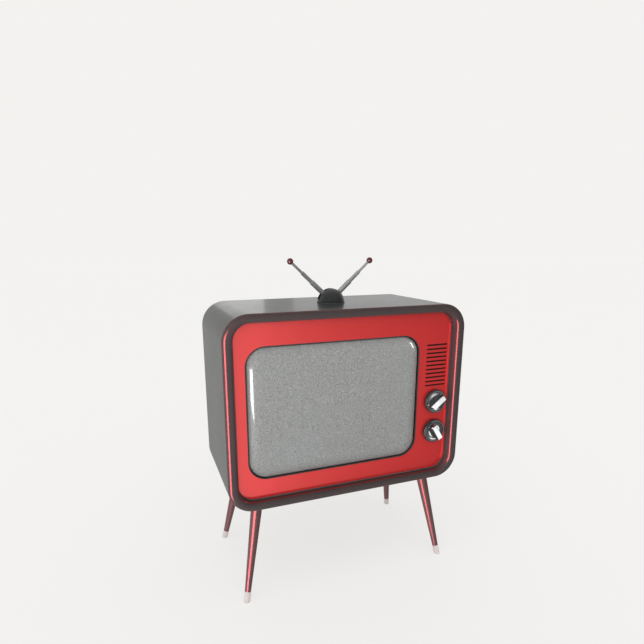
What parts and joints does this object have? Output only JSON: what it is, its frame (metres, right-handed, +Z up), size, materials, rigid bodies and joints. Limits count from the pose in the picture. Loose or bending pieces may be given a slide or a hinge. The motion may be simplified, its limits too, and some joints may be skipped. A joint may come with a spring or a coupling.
{
  "type": "tube television",
  "caption": "Tube television in a rounded cabinet on splayed tapered legs, with a glossy front panel, side-mounted control knobs and a telescopic antenna on top.",
  "frame": {"origin": "on the floor, under the middle of the box around the whole object", "axes": "+X to the viewer's right, +Y from the screen to the back, +Z up"},
  "size_m": [0.6, 0.384, 0.7979],
  "materials": {
    "cabinet_lacquer": "charcoal satin lacquer over plywood",
    "bezel_metallic": "dark metallic lacquer with a red flip under clear coat",
    "panel_red": "glossy red metallic lacquer",
    "baffle_ply": "raw plywood painted black on its front",
    "grille_cloth": "black woven grille cloth",
    "black_rubber": "matt black rubber",
    "screen_glass": "grey phosphor behind polished glass",
    "bulb_glass": "glass coated with graphite",
    "zinc_steel": "zinc-plated sheet steel",
    "gun_metal": "bright nickel electrodes",
    "brown_bakelite": "moulded bakelite",
    "copper_winding": "enamelled copper wire",
    "ferrite": "dark ferrite and laminations",
    "valve_glass": "clear glass with getter mirror",
    "can_aluminium": "drawn aluminium can",
    "pot_metal": "plated steel potentiometer case",
    "shaft_steel": "turned steel",
    "cone_paper": "pressed paper cone",
    "back_board": "pressed brown fibreboard",
    "cup_plastic": "black moulded plastic",
    "preset_plastic": "black ribbed plastic",
    "knob_black": "polished black plastic",
    "knob_chrome": "polished and spun metal",
    "leg_metallic": "tapered leg in dark red metallic lacquer",
    "ferrule_metal": "bright ferrule",
    "antenna_black": "polished black plastic",
    "antenna_chrome": "plated telescopic tube",
    "tip_red": "dark red ball"
  },
  "bodies": {
    "set": {"aerial_terminals": "brown_bakelite", "anode_cap": "black_rubber", "antenna_base": "antenna_black", "back_cover": "back_board", "back_screws": "zinc_steel", "bezel_ring": "bezel_metallic", "cabinet_shell": "cabinet_lacquer", "chassis_tray": "zinc_steel", "crt_band": "zinc_steel", "crt_electron_gun": "gun_metal", "crt_faceplate": "screen_glass", "crt_funnel": "bulb_glass", "crt_socket": "brown_bakelite", "eht_cage": "zinc_steel", "flyback_coil": "copper_winding", "flyback_transformer": "ferrite", "front_baffle": "baffle_ply", "front_panel": "panel_red", "grille_cloth": "grille_cloth", "if_cans": "can_aluminium", "internal_screws": "zinc_steel", "leg_ferrules": "ferrule_metal", "leg_front_left": "leg_metallic", "leg_front_right": "leg_metallic", "leg_plates": "zinc_steel", "leg_rear_left": "leg_metallic", "leg_rear_right": "leg_metallic", "mains_inlet": "brown_bakelite", "mains_transformer_coil": "copper_winding", "mains_transformer_core": "ferrite", "neck_cup": "cup_plastic", "preset_pots": "pot_metal", "screen_gasket": "black_rubber", "smoothing_capacitors": "can_aluminium", "speaker_cone": "cone_paper", "speaker_frame": "zinc_steel", "speaker_magnet": "ferrite", "tuner_box": "zinc_steel", "valve_sockets": "brown_bakelite", "valves": "valve_glass", "volume_control": "pot_metal", "yoke_coils": "copper_winding", "yoke_core": "ferrite"},
    "channel_selector": {"tuner_turret": "shaft_steel", "channel_knob_skirt": "knob_black", "channel_knob_cap": "knob_chrome"},
    "volume_shaft": {"volume_spindle": "shaft_steel", "volume_knob_skirt": "knob_black", "volume_knob_cap": "knob_chrome"},
    "brightness_shaft": {"brightness_spindle": "preset_plastic"},
    "contrast_shaft": {"contrast_spindle": "preset_plastic"},
    "antenna_head": {"antenna_dome": "antenna_black"},
    "left_arm": {"left_arm_tube": "antenna_chrome"},
    "left_arm_middle": {"left_middle_tube": "antenna_chrome"},
    "left_arm_inner": {"left_inner_rod": "antenna_chrome", "left_tip_ball": "tip_red"},
    "right_arm": {"right_arm_tube": "antenna_chrome"},
    "right_arm_middle": {"right_middle_tube": "antenna_chrome"},
    "right_arm_inner": {"right_inner_rod": "antenna_chrome", "right_tip_ball": "tip_red"}
  },
  "joints": [
    {"name": "channel_select", "type": "hinge", "parent": "set", "child": "channel_selector", "pos_m": [0.2355, -0.15, 0.4425], "axis": [0, 1, 0], "continuous": true},
    {"name": "volume_turn", "type": "hinge", "parent": "set", "child": "volume_shaft", "pos_m": [0.2355, -0.15, 0.3635], "axis": [0, 1, 0], "range_deg": [0, 290]},
    {"name": "brightness_preset", "type": "hinge", "parent": "set", "child": "brightness_shaft", "pos_m": [-0.12, 0.08, 0.272], "axis": [0, -1, 0], "range_deg": [-135, 135]},
    {"name": "contrast_preset", "type": "hinge", "parent": "set", "child": "contrast_shaft", "pos_m": [-0.08, 0.08, 0.272], "axis": [0, -1, 0], "range_deg": [-135, 135]},
    {"name": "antenna_swivel", "type": "hinge", "parent": "set", "child": "antenna_head", "pos_m": [0, -0.0455, 0.6935], "axis": [0, 0, 1], "range_deg": [-90, 90]},
    {"name": "left_arm_tilt", "type": "hinge", "parent": "antenna_head", "child": "left_arm", "pos_m": [-0.009, -0.0455, 0.702], "axis": [0, 1, 0], "range_deg": [-33, 35]},
    {"name": "left_middle_slide", "type": "slide", "parent": "left_arm", "child": "left_arm_middle", "axis": [-0.7353, 0, 0.6777], "range_m": [0, 0.034]},
    {"name": "left_inner_slide", "type": "slide", "parent": "left_arm_middle", "child": "left_arm_inner", "axis": [-0.7353, 0, 0.6777], "range_m": [0, 0.066]},
    {"name": "right_arm_tilt", "type": "hinge", "parent": "antenna_head", "child": "right_arm", "pos_m": [0.009, -0.0455, 0.702], "axis": [0, -1, 0], "range_deg": [-33, 35]},
    {"name": "right_middle_slide", "type": "slide", "parent": "right_arm", "child": "right_arm_middle", "axis": [0.7353, 0, 0.6777], "range_m": [0, 0.034]},
    {"name": "right_inner_slide", "type": "slide", "parent": "right_arm_middle", "child": "right_arm_inner", "axis": [0.7353, 0, 0.6777], "range_m": [0, 0.066]}
  ]
}
